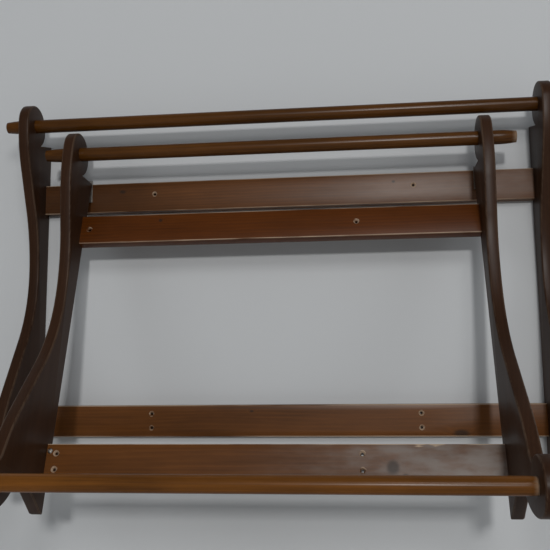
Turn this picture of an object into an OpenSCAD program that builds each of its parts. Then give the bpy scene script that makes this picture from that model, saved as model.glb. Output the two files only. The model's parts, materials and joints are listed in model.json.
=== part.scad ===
// Wall mounted drying rack: a fixed wall frame of two shaped sides, two boards and a top
// dowel, and a narrower frame of the same pattern that swings out from it on two hinges.
// +X runs to the right along the wall, +Z is up, and the wall is the plane y = 0.
// The origin is on the wall, midway between the two upper wall screws.

/* [Frames] */
// Distance between the inner faces of the wall frame's sides
outer_gap = 942; // [860:1:1100]
// Distance between the inner faces of the swinging frame's sides
inner_gap = 736; // [600:1:760]
// How far the swinging frame sits to the left of the middle
inner_shift = 7; // [0:1:12]
// How much lower the swinging frame hangs than the wall frame when it is folded
inner_drop = 86; // [70:1:110]
// How far the swinging frame stands open from its folded place, in degrees
open_angle = 17.5; // [0:0.5:24]

/* [Side panels] */
// Thickness of each side panel
side_t = 20; // [18:1:24]
// Radius of the round head at the top and of the round lobe at the front
lobe_r = 40; // [36:1:44]
// How far the middle of the head stands off the wall
head_out = 72; // [68:1:78]
// Height from the lower board's bottom edge to the middle of the head
head_z = 595; // [585:1:610]
// How far the middle of the front lobe stands off the wall
front_out = 204; // [198:1:210]
// How far the middle of the front lobe is below the lower board's bottom edge
front_drop = 37; // [34:1:40]
// Depth of the side at its waist
waist_out = 42; // [36:1:50]

/* [Boards] */
// Width of each board, measured up the wall
board_w = 58; // [50:1:66]
// Thickness of each board
board_t = 20; // [18:1:24]
// Height of the upper board above the lower one, edge to edge
board_rise = 432; // [400:1:450]
// Depth of the tenon at each end of a board
tenon_l = 12; // [8:1:14]

/* [Dowels] */
// Radius of the three dowels
dowel_r = 12.7; // [10:0.1:14]
// How far the wall frame's top dowel stands out beyond its sides
outer_overhang = 38; // [10:1:60]
// How far the swinging frame's top dowel stands out beyond its sides
inner_overhang = 47; // [10:1:60]

/* [Screws and hinges] */
// Distance between the two columns of wall screw holes
screw_span = 500; // [400:1:600]
// Height between the two holes of a pair in a lower board
screw_pair = 26; // [20:1:34]
// Radius of a wall screw hole
screw_hole_r = 2.5; // [2:0.1:3]
// Length of a hinge leaf below its knuckle
leaf_l = 40; // [30:1:50]
// Radius of a hinge pin
pin_r = 1.5; // [1.2:0.1:1.8]

/* [Hidden] */
$fn = 64;
fit = 0.05;
cut = 1;
wood_dark = [0.28, 0.13, 0.07];
wood_red = [0.42, 0.17, 0.08];
wood_dowel = [0.50, 0.24, 0.10];
steel = [0.60, 0.58, 0.55];

// The wall screws of the fixed upper board are on z = 0, a little above its middle. Those of
// the swinging upper board are at its middle.
screw_rise = 5;
lower_z = -board_rise - board_w / 2 - screw_rise;
upper_z = lower_z + board_rise;
top_z = upper_z + board_w;
pair_z = lower_z + board_w / 2;

// Side outline, out from the wall and up from the lower board's bottom edge.
foot_drop = 52;
foot_points = [[58, -26], [8, -foot_drop], [0, -foot_drop]];
shoulder_z = board_rise + board_w + inner_drop;
cusp_angle = 232;
neck_r = 240;
neck_angle = 24.2;
waist_z = 310;
waist_upper_r = 329;
waist_lower_r = 247;
sweep_angle = 31.8;
thigh_r = 321;
thigh_end = 16.7;
thigh_z = 85;
ledge = [178, 1];
lobe_start = 120;
under_r = 100;
notch_angle = 160;
arc_steps = 12;
lobe_steps = 48;

// Hinges: pin axis, knuckles and leaves.
leaf_t = 1.4;
leaf_gap = 0.4;
knuckle_r = 3.2;
knuckle_gap = 0.3;
pin_out = board_t + leaf_t + leaf_gap / 2;
pin_z = top_z + knuckle_r + knuckle_gap;
stand_off = board_t + 2 * leaf_t + leaf_gap;
leaf_w = side_t - 1;
knuckle_w = leaf_w / 3;
leaf_screws = [16, 31];

// Small fastenings.
brad_r = 0.9;
brad_head_r = 1.5;
brad_head_l = 1;
brad_l = 38;
socket_l = 12;
sink_r = 5;
sink_l = 3;
leaf_screw_r = 1.5;
leaf_screw_head_r = 2.9;
leaf_screw_l = 14;
corner_screw_r = 2;
corner_screw_head_r = 4.5;
corner_screw_head_l = 2.4;
corner_screw_l = 18;
corner_screw_x = -inner_gap / 2 + 5.5;
corner_screw_z = pair_z + 17;
slot_w = 1.2;
slot_l = 0.9;
// The swinging frame's screw holes start beside its left side.
inner_column_x = -inner_gap / 2 + 16;

// Points of a round stretch from angle a to angle b about (cx, cy), in equal steps.
function arc(cx, cy, r, a, b, steps) = [
    for (i = [0 : steps])
        let (t = a + (b - a) * i / steps)
        [cx + r * cos(t), cy + r * sin(t)]
];

// Moves a piece of the swinging frame from its folded place to its open one.
module swung() {
    translate([-inner_shift, -pin_out, pin_z])
        rotate([-open_angle, 0, 0])
            translate([0, pin_out - stand_off, -pin_z - inner_drop])
                children();
}

// A cylinder along X, Y or Z that starts at the origin.
module rod_x(r, l) {
    rotate([0, 90, 0]) cylinder(r = r, h = l);
}

module rod_y(r, l) {
    rotate([-90, 0, 0]) cylinder(r = r, h = l);
}

// A countersunk hole through a board from its front face to its back.
module sunk_hole(x, z) {
    translate([x, -board_t - cut, z]) rod_y(screw_hole_r, board_t + 2 * cut);
    translate([x, -board_t, z]) rotate([-90, 0, 0])
        cylinder(r1 = sink_r, r2 = screw_hole_r, h = sink_l);
    translate([x, -board_t - cut, z]) rod_y(sink_r, cut);
}

// The side's outline: x is the distance out from the back edge and y the height.
module side_outline() {
    thigh_x = waist_out + waist_lower_r * (1 - cos(sweep_angle))
        + (waist_z - waist_lower_r * sin(sweep_angle) - thigh_z) * tan(sweep_angle);
    polygon(concat(
        [[0, shoulder_z]],
        arc(head_out, head_z, lobe_r, cusp_angle, 0, lobe_steps),
        arc(head_out + lobe_r - neck_r, head_z, neck_r, 0, -neck_angle, arc_steps),
        arc(waist_out + waist_upper_r, waist_z, waist_upper_r, 180 - neck_angle, 180, arc_steps),
        arc(waist_out + waist_lower_r, waist_z, waist_lower_r, 180, 180 + sweep_angle, arc_steps),
        arc(thigh_x - thigh_r * cos(sweep_angle), thigh_z - thigh_r * sin(sweep_angle),
            thigh_r, sweep_angle, thigh_end, arc_steps),
        [ledge],
        arc(front_out, -front_drop, lobe_r, lobe_start, -90, lobe_steps),
        arc(front_out, under_r - front_drop - lobe_r, under_r, -90, -notch_angle, arc_steps),
        foot_points
    ));
}

// A plain side from x = 0 to x = side_t, with its back edge on y = 0.
module side_blank() {
    translate([side_t, 0, lower_z])
        rotate([90, 0, -90])
            linear_extrude(side_t) side_outline();
}

// A mortise for a board's tenon, open at x = 0 and running to the right.
module mortise(z) {
    translate([-cut, -0.75 * board_t - fit, z + board_w / 8 - fit])
        cube([tenon_l + cut + fit, board_t / 2 + 2 * fit, 0.75 * board_w + 2 * fit]);
}

// A right-hand side with its inner face on x = 0. A side with a front socket takes
// the front dowel in a blind hole.
module right_side(front_socket) {
    difference() {
        side_blank();
        mortise(lower_z);
        mortise(upper_z);
        translate([-cut, -head_out, lower_z + head_z]) rod_x(dowel_r + fit, side_t + 2 * cut);
        head_brad(fit);
        if (front_socket) {
            translate([-cut, -front_out, lower_z - front_drop])
                rod_x(dowel_r + fit, socket_l + cut + fit);
            front_brad(fit);
        }
    }
}

// A brad that starts at the origin and runs up +Z, with its head at the bottom.
module brad(grow) {
    cylinder(r = brad_r + grow, h = brad_l);
    translate([0, 0, -grow]) cylinder(r = brad_head_r + grow, h = brad_head_l + grow);
}

// The brad that locks a top dowel, driven from the back of the head.
module head_brad(grow) {
    translate([side_t / 2, -head_out + lobe_r - cut, lower_z + head_z])
        rotate([90, 0, 0]) brad(grow);
    if (grow > 0)
        translate([side_t / 2, -head_out + lobe_r - cut, lower_z + head_z])
            rod_y(brad_head_r + grow, 2 * cut);
}

// The brad that locks the front dowel, driven from the bottom of the lobe.
module front_brad(grow) {
    translate([socket_l / 2, -front_out, lower_z - front_drop - lobe_r + cut]) brad(grow);
    if (grow > 0)
        translate([socket_l / 2, -front_out, lower_z - front_drop - lobe_r - cut])
            cylinder(r = brad_head_r + grow, h = 2 * cut);
}

// Puts a right-hand piece at the right side of a frame, or its mirror at the left.
module at_right(gap) {
    translate([gap / 2, 0, 0]) children();
}

module at_left(gap) {
    translate([-gap / 2, 0, 0]) mirror([1, 0, 0]) children();
}

module at_both(gap) {
    at_right(gap) children();
    at_left(gap) children();
}

// A board with a tenon at each end and its bottom edge at height z.
module board(gap, z) {
    translate([-gap / 2, -board_t, z]) cube([gap, board_t, board_w]);
    translate([-gap / 2 - tenon_l, -0.75 * board_t, z + board_w / 8])
        cube([gap + 2 * tenon_l, board_t / 2, 0.75 * board_w]);
}

// An upper board has one screw hole at each column, and a lower board has two.
module upper_board(gap, column_x, hole_z) {
    difference() {
        board(gap, upper_z);
        for (x = [column_x, column_x + screw_span]) sunk_hole(x, hole_z);
    }
}

module lower_board(gap, column_x) {
    difference() {
        board(gap, lower_z);
        for (x = [column_x, column_x + screw_span], dz = [-screw_pair / 2, screw_pair / 2])
            sunk_hole(x, pair_z + dz);
    }
}

// A dowel with its ends eased by a small chamfer, centred on x = 0.
module dowel(l) {
    ease = 1.5;
    translate([-l / 2, 0, 0]) rotate([0, 90, 0]) rotate_extrude()
        polygon([
            [0, 0], [dowel_r - ease, 0], [dowel_r, ease],
            [dowel_r, l - ease], [dowel_r - ease, l], [0, l]
        ]);
}

module top_dowel(gap, overhang) {
    difference() {
        translate([0, -head_out, lower_z + head_z]) dowel(gap + 2 * side_t + 2 * overhang);
        at_both(gap) head_brad(fit);
    }
}

// Hinge parts stand about the pin axis: y = 0 and z = 0 on the axis, x = 0 on the side's
// middle. dir is 1 for the wall leaf and -1 for the frame leaf.
module leaf_screw_places() {
    for (z = leaf_screws) translate([0, 0, -z]) children();
}

module leaf_plate(dir) {
    face = dir * leaf_gap / 2;
    difference() {
        translate([-leaf_w / 2, min(face, face + dir * leaf_t), -leaf_l])
            cube([leaf_w, leaf_t, leaf_l]);
        leaf_screw_places() {
            translate([0, face - dir * cut, 0]) rotate([-90 * dir, 0, 0])
                cylinder(r = leaf_screw_head_r + fit, h = cut);
            translate([0, face, 0]) rotate([-90 * dir, 0, 0])
                cylinder(r1 = leaf_screw_head_r + fit, r2 = leaf_screw_r + fit, h = leaf_t);
        }
    }
}

// One knuckle w wide, starting at x.
module knuckle(x, w) {
    translate([x, 0, 0]) rod_x(knuckle_r, w);
}

module wall_leaf() {
    difference() {
        union() {
            difference() {
                leaf_plate(1);
                translate([-knuckle_w / 2 - knuckle_gap, 0, 0])
                    rod_x(knuckle_r + knuckle_gap, knuckle_w + 2 * knuckle_gap);
            }
            knuckle(-leaf_w / 2, knuckle_w);
            knuckle(leaf_w / 2 - knuckle_w, knuckle_w);
        }
        translate([-leaf_w, 0, 0]) rod_x(pin_r, 2 * leaf_w);
    }
}

module frame_leaf() {
    difference() {
        union() {
            difference() {
                leaf_plate(-1);
                translate([-leaf_w, 0, 0])
                    rod_x(knuckle_r + knuckle_gap, 2 * leaf_w);
            }
            translate([-knuckle_w / 2 + knuckle_gap, -leaf_gap / 2 - leaf_t, -knuckle_r - 1])
                cube([knuckle_w - 2 * knuckle_gap, leaf_t, knuckle_r + 1]);
            knuckle(-knuckle_w / 2 + knuckle_gap, knuckle_w - 2 * knuckle_gap);
        }
        translate([-leaf_w, 0, 0]) rod_x(pin_r + fit, 2 * leaf_w);
    }
}

module hinge_pin() {
    translate([-leaf_w / 2, 0, 0]) rod_x(pin_r - 0.01, leaf_w);
}

// A countersunk leaf screw: dir as for the leaf it holds.
module leaf_screw(dir) {
    face = dir * leaf_gap / 2;
    translate([0, face, 0]) rotate([-90 * dir, 0, 0]) {
        cylinder(r1 = leaf_screw_head_r, r2 = leaf_screw_r, h = leaf_t);
        cylinder(r = leaf_screw_r, h = leaf_screw_l);
    }
}

// Puts hinge parts at the pin axis behind the swinging frame's left (-1) or right (1) side.
module at_hinge(hand) {
    translate([-inner_shift + hand * (inner_gap + side_t) / 2, -pin_out, pin_z]) children();
}

module at_open_hinge(hand) {
    at_hinge(hand) rotate([-open_angle, 0, 0]) children();
}

module screw_pilots(dir) {
    leaf_screw_places() translate([0, dir * leaf_gap / 2, 0])
        rotate([-90 * dir, 0, 0]) cylinder(r = leaf_screw_r + fit, h = leaf_screw_l + fit);
}

// One module for each piece.
module outer_left_side() {
    color(wood_dark) at_left(outer_gap) right_side(false);
}

module outer_right_side() {
    color(wood_dark) at_right(outer_gap) right_side(false);
}

module outer_upper_board() {
    color(wood_red) difference() {
        upper_board(outer_gap, -screw_span / 2, 0);
        for (hand = [-1, 1]) at_hinge(hand) screw_pilots(1);
    }
}

module outer_lower_board() {
    color(wood_red) lower_board(outer_gap, -screw_span / 2);
}

module outer_top_dowel() {
    color(wood_dowel) top_dowel(outer_gap, outer_overhang);
}

module outer_dowel_brads() {
    color(steel) at_both(outer_gap) head_brad(0);
}

module left_hinge_wall_leaf() {
    color(steel) at_hinge(-1) wall_leaf();
}

module right_hinge_wall_leaf() {
    color(steel) at_hinge(1) wall_leaf();
}

module left_hinge_pin() {
    color(steel) at_hinge(-1) hinge_pin();
}

module right_hinge_pin() {
    color(steel) at_hinge(1) hinge_pin();
}

module hinge_wall_screws() {
    color(steel) for (hand = [-1, 1]) at_hinge(hand) leaf_screw_places() leaf_screw(1);
}

module inner_left_side() {
    color(wood_dark) difference() {
        swung() at_left(inner_gap) right_side(true);
        at_open_hinge(-1) screw_pilots(-1);
    }
}

module inner_right_side() {
    color(wood_dark) difference() {
        swung() at_right(inner_gap) right_side(true);
        at_open_hinge(1) screw_pilots(-1);
    }
}

module inner_upper_board() {
    color(wood_red) swung() upper_board(inner_gap, inner_column_x, -screw_rise);
}

module inner_lower_board() {
    color(wood_red) swung() difference() {
        lower_board(inner_gap, inner_column_x);
        translate([corner_screw_x, -board_t - cut, corner_screw_z])
            rod_y(corner_screw_r + fit, corner_screw_l + cut);
    }
}

module inner_top_dowel() {
    color(wood_dowel) swung() top_dowel(inner_gap, inner_overhang);
}

module inner_front_dowel() {
    color(wood_dowel) swung() difference() {
        translate([0, -front_out, lower_z - front_drop]) dowel(inner_gap + 2 * socket_l);
        at_both(inner_gap) front_brad(fit);
    }
}

module inner_dowel_brads() {
    color(steel) swung() at_both(inner_gap) {
        head_brad(0);
        front_brad(0);
    }
}

module left_hinge_frame_leaf() {
    color(steel) at_open_hinge(-1) frame_leaf();
}

module right_hinge_frame_leaf() {
    color(steel) at_open_hinge(1) frame_leaf();
}

module hinge_frame_screws() {
    color(steel) for (hand = [-1, 1]) at_open_hinge(hand) leaf_screw_places() leaf_screw(-1);
}

// A slotted round-head screw near the left end of the swinging frame's lower board.
module corner_screw() {
    color(steel) swung() translate([corner_screw_x, -board_t, corner_screw_z]) {
        difference() {
            translate([0, -corner_screw_head_l, 0]) rotate([-90, 0, 0])
                cylinder(r1 = 0.6 * corner_screw_head_r, r2 = corner_screw_head_r,
                         h = corner_screw_head_l);
            translate([-corner_screw_head_r, -corner_screw_head_l - cut, -slot_w / 2])
                cube([2 * corner_screw_head_r, slot_l + cut, slot_w]);
        }
        rod_y(corner_screw_r, corner_screw_l - 2);
    }
}

outer_left_side();
outer_right_side();
outer_upper_board();
outer_lower_board();
outer_top_dowel();
outer_dowel_brads();
left_hinge_wall_leaf();
right_hinge_wall_leaf();
left_hinge_pin();
right_hinge_pin();
hinge_wall_screws();
inner_left_side();
inner_right_side();
inner_upper_board();
inner_lower_board();
inner_top_dowel();
inner_front_dowel();
inner_dowel_brads();
left_hinge_frame_leaf();
right_hinge_frame_leaf();
hinge_frame_screws();
corner_screw();
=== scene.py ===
"""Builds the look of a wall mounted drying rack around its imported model.

The rack is a fixed wall frame and a narrower frame of the same pattern that swings out from
it on two hinges. Both are of stained and varnished wood: shaped side panels, flat boards and
round dowels. Lengths are in metres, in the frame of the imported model.
"""

import json
import math

import bmesh
import bpy
from bpy.props import (
    FloatProperty,
    FloatVectorProperty,
    IntProperty,
    PointerProperty,
)
from mathutils import Matrix, Vector


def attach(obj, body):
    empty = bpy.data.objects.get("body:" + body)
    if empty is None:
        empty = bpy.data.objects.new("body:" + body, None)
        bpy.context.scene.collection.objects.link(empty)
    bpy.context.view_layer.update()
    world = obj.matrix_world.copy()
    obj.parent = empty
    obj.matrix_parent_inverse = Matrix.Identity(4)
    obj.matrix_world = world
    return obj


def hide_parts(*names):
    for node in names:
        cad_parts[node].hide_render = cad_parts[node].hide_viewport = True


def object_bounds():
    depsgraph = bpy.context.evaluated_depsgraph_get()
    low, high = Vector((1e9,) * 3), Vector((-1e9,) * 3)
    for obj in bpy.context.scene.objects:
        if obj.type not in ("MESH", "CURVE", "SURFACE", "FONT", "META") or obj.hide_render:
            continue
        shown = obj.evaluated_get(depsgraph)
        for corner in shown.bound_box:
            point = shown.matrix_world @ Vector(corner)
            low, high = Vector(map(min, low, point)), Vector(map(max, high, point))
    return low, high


bl_info = {
    "name": "Wall Drying Rack",
    "version": (1, 0, 0),
    "blender": (4, 5, 0),
    "location": "View3D > Sidebar > Drying Rack",
    "description": "Builds a wall mounted drying rack of stained wood around its packed model",
    "category": "Object",
}

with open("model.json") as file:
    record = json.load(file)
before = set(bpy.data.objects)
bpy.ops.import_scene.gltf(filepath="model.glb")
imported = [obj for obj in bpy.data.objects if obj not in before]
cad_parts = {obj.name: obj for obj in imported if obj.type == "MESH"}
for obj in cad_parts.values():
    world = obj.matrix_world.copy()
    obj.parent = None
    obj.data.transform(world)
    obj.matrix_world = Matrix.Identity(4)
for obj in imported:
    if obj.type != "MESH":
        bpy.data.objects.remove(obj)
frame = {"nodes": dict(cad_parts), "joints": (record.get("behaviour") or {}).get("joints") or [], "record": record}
CAD_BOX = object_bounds()
HINGE = frame["joints"][0]
PIVOT = Vector(HINGE["pos_m"])
OPEN_ANGLE = -math.radians(HINGE["range_deg"][0])
AS_PACKED = Matrix.Identity(4)
# Turns the swinging frame from where it stands to flat against the wall frame.
FOLD_FLAT = (
    Matrix.Translation(PIVOT)
    @ Matrix.Rotation(OPEN_ANGLE, 4, "X")
    @ Matrix.Translation(-PIVOT)
)
ALONG_X, ALONG_Y, ALONG_Z = 0, 1, 2
MOUNTS = {mount["name"]: mount for mount in frame["record"]["mounts"]}


# ---------------------------------------------------------------------------
# What a user would change


class RackShape(bpy.types.PropertyGroup):
    """Sizes of the shaped sides, boards, dowels and fastenings."""

    neck_radius: FloatProperty(
        name="Neck radius", description="Hollow curve under the round head",
        default=0.240, unit="LENGTH",
    )
    neck_angle: FloatProperty(
        name="Neck angle", description="How far the hollow under the head turns",
        default=math.radians(24.2), subtype="ANGLE",
    )
    waist_depth: FloatProperty(
        name="Waist depth", description="Depth of a side at its narrowest", default=0.042, unit="LENGTH"
    )
    waist_height: FloatProperty(
        name="Waist height", description="Height of the waist above the lower board's bottom edge",
        default=0.310, unit="LENGTH",
    )
    waist_upper_radius: FloatProperty(
        name="Upper waist radius", description="Hollow curve above the waist", default=0.329, unit="LENGTH"
    )
    waist_lower_radius: FloatProperty(
        name="Lower waist radius", description="Hollow curve below the waist", default=0.247, unit="LENGTH"
    )
    sweep_angle: FloatProperty(
        name="Sweep angle", description="How far the front edge sweeps out below the waist",
        default=math.radians(31.8), subtype="ANGLE",
    )
    thigh_radius: FloatProperty(
        name="Thigh radius", description="Full curve above the front lobe", default=0.321, unit="LENGTH"
    )
    thigh_height: FloatProperty(
        name="Thigh height", description="Height at which the full curve starts",
        default=0.085, unit="LENGTH",
    )
    thigh_end: FloatProperty(
        name="Thigh end", description="Slope of the front edge where it meets the lobe",
        default=math.radians(16.7), subtype="ANGLE",
    )
    under_radius: FloatProperty(
        name="Underside radius", description="Hollow curve between the lobe and the foot",
        default=0.100, unit="LENGTH",
    )
    foot_drop: FloatProperty(
        name="Foot drop", description="How far the foot reaches below the lower board",
        default=0.052, unit="LENGTH",
    )
    foot_width: FloatProperty(
        name="Foot width", description="Width of the foot's flat end", default=0.008, unit="LENGTH"
    )
    heel_out: FloatProperty(
        name="Heel reach", description="How far out the hollow underside meets the foot",
        default=0.058, unit="LENGTH",
    )
    heel_drop: FloatProperty(
        name="Heel drop", description="How far that meeting is below the lower board",
        default=0.026, unit="LENGTH",
    )
    shoulder_drop: FloatProperty(
        name="Shoulder drop", description="Height of the shoulder below the top dowel",
        default=0.019, unit="LENGTH",
    )
    side_ease: FloatProperty(
        name="Side easing", description="Rounding of the side panels' edges", default=0.0026, unit="LENGTH"
    )
    board_ease: FloatProperty(
        name="Board easing", description="Rounding of the boards' long edges", default=0.0016, unit="LENGTH"
    )
    dowel_ease: FloatProperty(
        name="Dowel easing", description="Rounding of the dowels' ends", default=0.0022, unit="LENGTH"
    )
    dowel_wobble: FloatProperty(
        name="Dowel wobble", description="How much a dowel's thickness wanders",
        default=0.00022, unit="LENGTH",
    )
    joint_gap: FloatProperty(
        name="Joint gap", description="Gap round a dowel or a tenon in its hole",
        default=0.0002, unit="LENGTH",
    )
    sink_radius: FloatProperty(
        name="Countersink radius", description="Mouth of a wall screw's countersink",
        default=0.005, unit="LENGTH",
    )
    sink_depth: FloatProperty(
        name="Countersink depth", description="Depth of a wall screw's countersink",
        default=0.003, unit="LENGTH",
    )
    dowel_sides: IntProperty(name="Dowel sides", description="Faces round a dowel", default=56, min=12)
    arc_steps: IntProperty(name="Curve steps", description="Steps in each long curve", default=26, min=4)
    lobe_steps: IntProperty(name="Lobe steps", description="Steps round a head or lobe", default=64, min=12)


class RackFinish(bpy.types.PropertyGroup):
    """Stains, varnish, metal and the colour of the painted glare."""

    dark_stain: FloatVectorProperty(
        name="Side stain", description="Stain of the side panels",
        subtype="COLOR", default=(0.036, 0.0155, 0.0075),
    )
    deep_stain: FloatVectorProperty(
        name="Swinging board stain", description="Stain of the swinging frame's upper board",
        subtype="COLOR", default=(0.084, 0.0205, 0.0004),
    )
    red_stain: FloatVectorProperty(
        name="Board stain", description="Stain of the boards",
        subtype="COLOR", default=(0.108, 0.0365, 0.0065),
    )
    dowel_stain: FloatVectorProperty(
        name="Dowel stain", description="Stain of the dowels",
        subtype="COLOR", default=(0.156, 0.0550, 0.0070),
    )
    # Also the colour of the pale rims, which are partly real wear and partly a painted highlight along the edges.
    bare_wood_and_highlight: FloatVectorProperty(
        name="Bare wood", description="Wood that shows where the finish is worn off",
        subtype="COLOR", default=(0.56, 0.42, 0.30),
    )
    # Colour of the painted glare: a grey veil over part of some boards that stands in for the reflection of a
    # bright light on the varnish.
    painted_glare_colour: FloatVectorProperty(
        name="Painted glare", description="Grey bloom on the old varnish",
        subtype="COLOR", default=(0.205, 0.175, 0.155),
    )
    knot: FloatVectorProperty(
        name="Knot", description="Heart of a knot", subtype="COLOR", default=(0.020, 0.012, 0.008)
    )
    steel: FloatVectorProperty(
        name="Steel", description="Hinges and screws", subtype="COLOR", default=(0.42, 0.40, 0.37)
    )
    tarnish: FloatVectorProperty(
        name="Tarnish", description="Dull patches on the steel",
        subtype="COLOR", default=(0.16, 0.12, 0.085),
    )
    varnish: FloatProperty(
        name="Varnish", description="Weight of the varnish coat", default=0.45,
        subtype="FACTOR", min=0, max=1,
    )
    varnish_roughness: FloatProperty(
        name="Varnish roughness", description="Roughness of the varnish coat", default=0.33,
        subtype="FACTOR", min=0, max=1,
    )


class RackStage(bpy.types.PropertyGroup):
    """Camera, wall, floor and lights."""

    camera_place: FloatVectorProperty(
        name="Camera place", description="Where the camera stands", subtype="TRANSLATION",
        default=(0.1347, -1.4113, -0.3601),
    )
    camera_heading: FloatProperty(
        name="Camera heading", description="How far the camera turns to the left",
        default=math.radians(6.11), subtype="ANGLE",
    )
    camera_tilt: FloatProperty(
        name="Camera tilt", description="How far the camera looks up",
        default=math.radians(7.91), subtype="ANGLE",
    )
    camera_roll: FloatProperty(
        name="Camera roll", description="How far the camera leans",
        default=math.radians(0.52), subtype="ANGLE",
    )
    lens: FloatProperty(name="Lens", description="Focal length", default=48.8, unit="CAMERA")
    wall_colour: FloatVectorProperty(
        name="Wall", description="Painted wall", subtype="COLOR", default=(0.60, 0.615, 0.63)
    )
    floor_colour: FloatVectorProperty(
        name="Floor", description="Pale floor", subtype="COLOR", default=(0.66, 0.65, 0.63)
    )
    floor_drop: FloatProperty(
        name="Floor drop", description="Floor's depth below the upper wall screws",
        default=1.45, unit="LENGTH",
    )
    sun_power: FloatProperty(
        name="Distant light", description="Power of the small distant light", default=172.0, unit="POWER"
    )
    window_power: FloatProperty(
        name="Window light", description="Power of the large soft light above", default=20.0, unit="POWER"
    )
    side_power: FloatProperty(
        name="Side lights", description="Power of the soft light on each side", default=13.0, unit="POWER"
    )
    sky_strength: FloatProperty(
        name="Room light", description="Strength of the even light all round", default=0.19, min=0
    )


# ---------------------------------------------------------------------------
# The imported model's sizes


def folded_box(node, fold):
    """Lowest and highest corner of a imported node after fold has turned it."""
    points = [fold @ vertex.co for vertex in frame["nodes"][node].data.vertices]
    low = Vector([min(point[i] for point in points) for i in range(3)])
    high = Vector([max(point[i] for point in points) for i in range(3)])
    return low, high


class RackFrame:
    """One of the rack's two frames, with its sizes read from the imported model.

    Its own axes start midway between its sides, on their back edges and at the lower board's
    bottom edge. X runs along the boards, -Y out from the wall and Z up.
    """

    def __init__(self, prefix, body, fold):
        self.prefix = prefix
        self.body = body
        left = folded_box(f"{prefix}_left_side", fold)
        right = folded_box(f"{prefix}_right_side", fold)
        lower = folded_box(f"{prefix}_lower_board", fold)
        upper = folded_box(f"{prefix}_upper_board", fold)
        rail = folded_box(f"{prefix}_top_dowel", fold)
        self.gap = right[0].x - left[1].x
        self.side_t = right[1].x - right[0].x
        self.board_w = lower[1].z - lower[0].z
        self.board_t = lower[1].y - lower[0].y
        self.board_rise = upper[0].z - lower[0].z
        self.tenon = (lower[1].x - lower[0].x - self.gap) / 2
        self.dowel_r = (rail[1].z - rail[0].z) / 2
        self.dowel_l = rail[1].x - rail[0].x
        origin = Vector(((left[1].x + right[0].x) / 2, right[1].y, lower[0].z))
        self.head_out = origin.y - (rail[0].y + rail[1].y) / 2
        self.head_z = (rail[0].z + rail[1].z) / 2 - origin.z
        self.lobe_r = right[1].z - origin.z - self.head_z
        self.front_out = origin.y - right[0].y - self.lobe_r
        self.front_drop = origin.z - right[0].z - self.lobe_r
        self.place = fold.inverted() @ Matrix.Translation(origin)

    def node(self, part):
        return f"{self.prefix}_{part}"


WALL_FRAME = RackFrame("outer", "wall_frame", AS_PACKED)
SWING_FRAME = RackFrame("inner", "swing_frame", FOLD_FLAT)
SCREW_SPAN = MOUNTS["lower_wall_screws"]["dims"]["spacing_x_mm"] / 1000
SCREW_PAIR = MOUNTS["lower_wall_screws"]["dims"]["spacing_y_mm"] / 1000
SCREW_HOLE_R = MOUNTS["lower_wall_screws"]["dims"]["hole_r_mm"] / 1000
# The fixed upper board's holes are above its middle. The swinging boards' start by its left side.
SCREW_RISE = 0.005
INNER_COLUMN = 0.016
# The small ledge above a side's front lobe: how far inside the lobe's middle, and its height.
LEDGE_IN = 0.026
LEDGE_RISE = 0.001
# How far a cutter goes past the face that it opens.
PAST = 0.01


def column_places(part):
    """Distances along a board to its two columns of wall screw holes."""
    first = -SCREW_SPAN / 2
    if part.prefix == "inner":
        first = -part.gap / 2 + INNER_COLUMN
    return first, first + SCREW_SPAN


# ---------------------------------------------------------------------------
# Node graphs


class Value:
    """A socket of a node graph. Arithmetic on it adds Math nodes."""

    def __init__(self, graph, made, output=0):
        self.graph = graph
        self.made = made
        self.socket = made.outputs[output] if made.outputs else None

    def out(self, output):
        """Another output of the same node."""
        return Value(self.graph, self.made, output)

    def __add__(self, other):
        return self.graph.maths("ADD", self, other)

    def __sub__(self, other):
        return self.graph.maths("SUBTRACT", self, other)

    def __rsub__(self, other):
        return self.graph.maths("SUBTRACT", other, self)

    def __mul__(self, other):
        return self.graph.maths("MULTIPLY", self, other)

    def __truediv__(self, other):
        return self.graph.maths("DIVIDE", self, other)

    def __pow__(self, other):
        return self.graph.maths("POWER", self, other)

    __radd__ = __add__
    __rmul__ = __mul__


class Graph:
    """A shader or geometry node tree that is built from expressions."""

    def __init__(self, tree):
        self.tree = tree

    def node(self, kind, settings=None, inputs=None, output=0):
        """Adds a node: first its settings, then the values or links of its sockets."""
        made = self.tree.nodes.new(kind)
        for name, setting in (settings or {}).items():
            if name == "stops":
                set_stops(made.color_ramp, setting)
            else:
                setattr(made, name, setting)
        for key, value in (inputs or {}).items():
            if isinstance(value, Value):
                self.tree.links.new(value.socket, made.inputs[key])
            else:
                made.inputs[key].default_value = value
        return Value(self, made, output)

    def maths(self, operation, *values):
        return self.node("ShaderNodeMath", {"operation": operation}, dict(enumerate(values)))

    def length(self, first, second):
        """Length of a vector with two parts."""
        return self.maths("SQRT", first * first + second * second)

    def mix(self, share, first, second):
        """Blends two colours."""
        inputs = {"Factor": share, 6: rgba(first), 7: rgba(second)}
        return self.node("ShaderNodeMix", {"data_type": "RGBA"}, inputs, 2)

    def noise(self, vector, detail=3.0, roughness=0.5):
        inputs = {"Vector": vector, "Scale": 1.0, "Detail": detail, "Roughness": roughness}
        return self.node("ShaderNodeTexNoise", None, inputs)

    def step(self, value, low, high):
        """Rises smoothly from 0 at low to 1 at high, or falls if low is above high."""
        settings = {"interpolation_type": "SMOOTHSTEP"}
        if low <= high:
            return self.node("ShaderNodeMapRange", settings, {"Value": value, 1: low, 2: high})
        return 1 - self.node("ShaderNodeMapRange", settings, {"Value": value, 1: high, 2: low})

    def stretch(self, vector, scale, shift):
        return self.node("ShaderNodeMapping", None, {"Vector": vector, "Location": shift, "Scale": scale})


def rgba(colour):
    return colour if isinstance(colour, Value) else (*colour, 1.0)


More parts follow.
